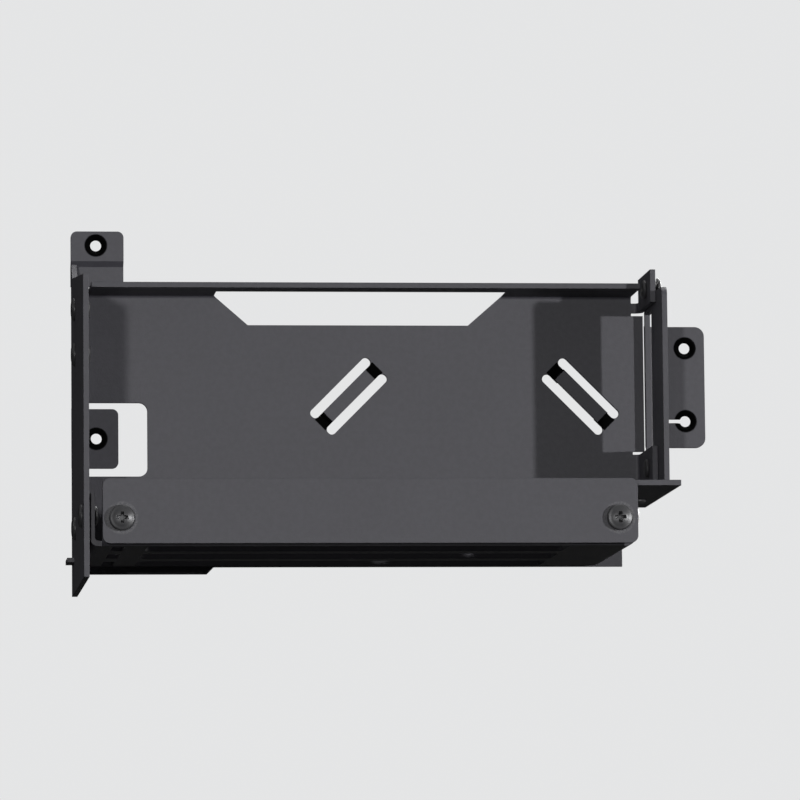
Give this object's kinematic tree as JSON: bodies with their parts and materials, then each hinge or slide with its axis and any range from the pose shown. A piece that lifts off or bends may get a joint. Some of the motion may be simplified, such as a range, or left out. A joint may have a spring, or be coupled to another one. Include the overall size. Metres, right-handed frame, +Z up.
{
  "type": "graphics card support bracket",
  "caption": "Folded black steel cage that screws to a case wall and holds the slot end of an upright graphics card.",
  "frame": {"origin": "on the wall face of the back plate, midway between the left wall's two screw holes", "axes": "+X along the card slots towards the screw ear, +Y into the wall, +Z up, away from the card"},
  "size_m": [0.1466, 0.0656, 0.0832],
  "materials": {
    "black_powder_coat": "satin black powder coat on steel sheet",
    "screw_steel": "black zinc",
    "zinc_steel": "zinc plate",
    "rivet_black": "black lacquer"
  },
  "bodies": {
    "root": {"tray": "black_powder_coat", "left_wall": "black_powder_coat", "right_wall": "black_powder_coat", "slot_plate": "black_powder_coat", "clamp_bar": "black_powder_coat", "bar_screw_left": "screw_steel", "clinch_nut_left": "zinc_steel", "bar_screw_right": "screw_steel", "clinch_nut_right": "zinc_steel", "slot_screw_1": "screw_steel", "slot_screw_2": "screw_steel", "slot_screw_3": "screw_steel", "rivet_left_upper": "rivet_black", "rivet_left_lower": "rivet_black", "rivet_lip_front": "rivet_black", "rivet_lip_rear": "rivet_black", "rivet_right_upper": "rivet_black", "rivet_right_lower": "rivet_black", "rivet_foot_front": "rivet_black", "rivet_foot_rear": "rivet_black"}
  },
  "joints": []
}
